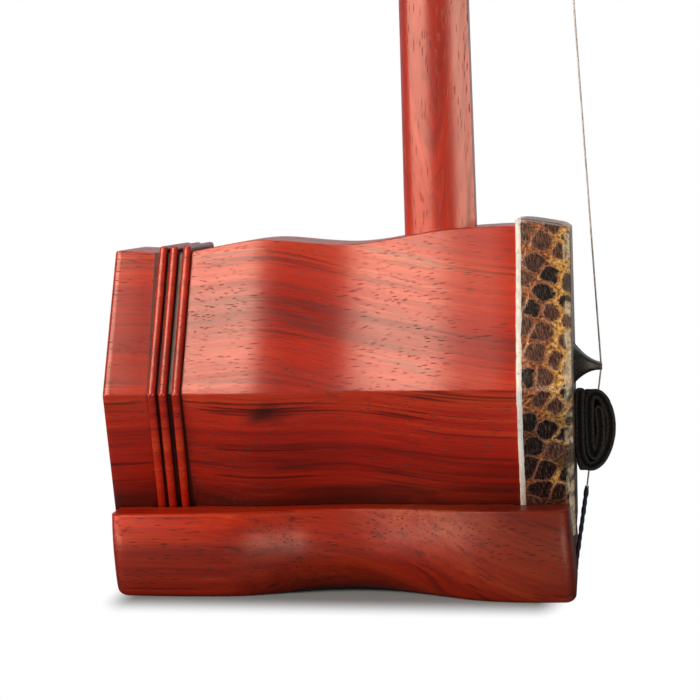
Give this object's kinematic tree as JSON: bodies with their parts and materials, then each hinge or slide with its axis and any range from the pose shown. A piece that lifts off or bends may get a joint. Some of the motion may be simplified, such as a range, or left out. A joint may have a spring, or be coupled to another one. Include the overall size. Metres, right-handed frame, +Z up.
{
  "type": "erhu",
  "caption": "Upright bowed fiddle: hexagonal sound box with a snakeskin front on a waisted base, slender neck with back-curved head, tuning pegs that turn, strings, bridge and damper.",
  "frame": {"origin": "centre of the base's underside, on the surface it stands on", "axes": "+Z up, +X towards the skin end of the sound box that carries the bridge, -Y towards the player's side"},
  "size_m": [0.1926, 0.106, 0.8082],
  "materials": {
    "rosewood": "clear gloss lacquer over orange-red rosewood",
    "base_wood": "satin lacquer over orange-red rosewood",
    "neck_wood": "satin lacquer over orange-red rosewood",
    "peg_wood": "polished red rosewood",
    "snakeskin": "varnished python skin",
    "edge_strip": "white glued edge",
    "bridge_horn": "black horn, brushed",
    "felt": "black felt",
    "bone": "polished bone",
    "string_steel": "bright string wire",
    "silk": "dark blue silk binding",
    "cotton": "waxed cotton thread",
    "brass": "plain brass",
    "bolt_steel": "zinc plated"
  },
  "bodies": {
    "instrument": {"base": "base_wood", "bridge": "bridge_horn", "damper": "felt", "head_cap": "bone", "inner_string": "string_steel", "inner_string_silk": "silk", "neck": "neck_wood", "neck_bolt": "bolt_steel", "outer_string": "string_steel", "outer_string_silk": "silk", "python_skin": "snakeskin", "qianjin": "cotton", "rear_window": "rosewood", "skin_edge_strip": "edge_strip", "stave_bottom": "rosewood", "stave_lower_far": "rosewood", "stave_lower_near": "rosewood", "stave_top": "rosewood", "stave_upper_far": "rosewood", "stave_upper_near": "rosewood", "string_hook": "brass", "trim_ring_1": "rosewood", "trim_ring_2": "rosewood", "trim_ring_3": "rosewood", "washer": "bolt_steel"},
    "inner_peg": {"inner_peg": "peg_wood", "inner_peg_button": "bone", "inner_string_winding": "string_steel"},
    "outer_peg": {"outer_peg": "peg_wood", "outer_peg_button": "bone", "outer_string_winding": "string_steel"}
  },
  "joints": [
    {"name": "inner_peg_turn", "type": "hinge", "parent": "instrument", "child": "inner_peg", "pos_m": [0.00537, 0, 0.71972], "axis": [0.9994, 0, 0.0335], "continuous": true},
    {"name": "outer_peg_turn", "type": "hinge", "parent": "instrument", "child": "outer_peg", "pos_m": [0.00805, 0, 0.63977], "axis": [0.9994, 0, 0.0335], "continuous": true}
  ]
}
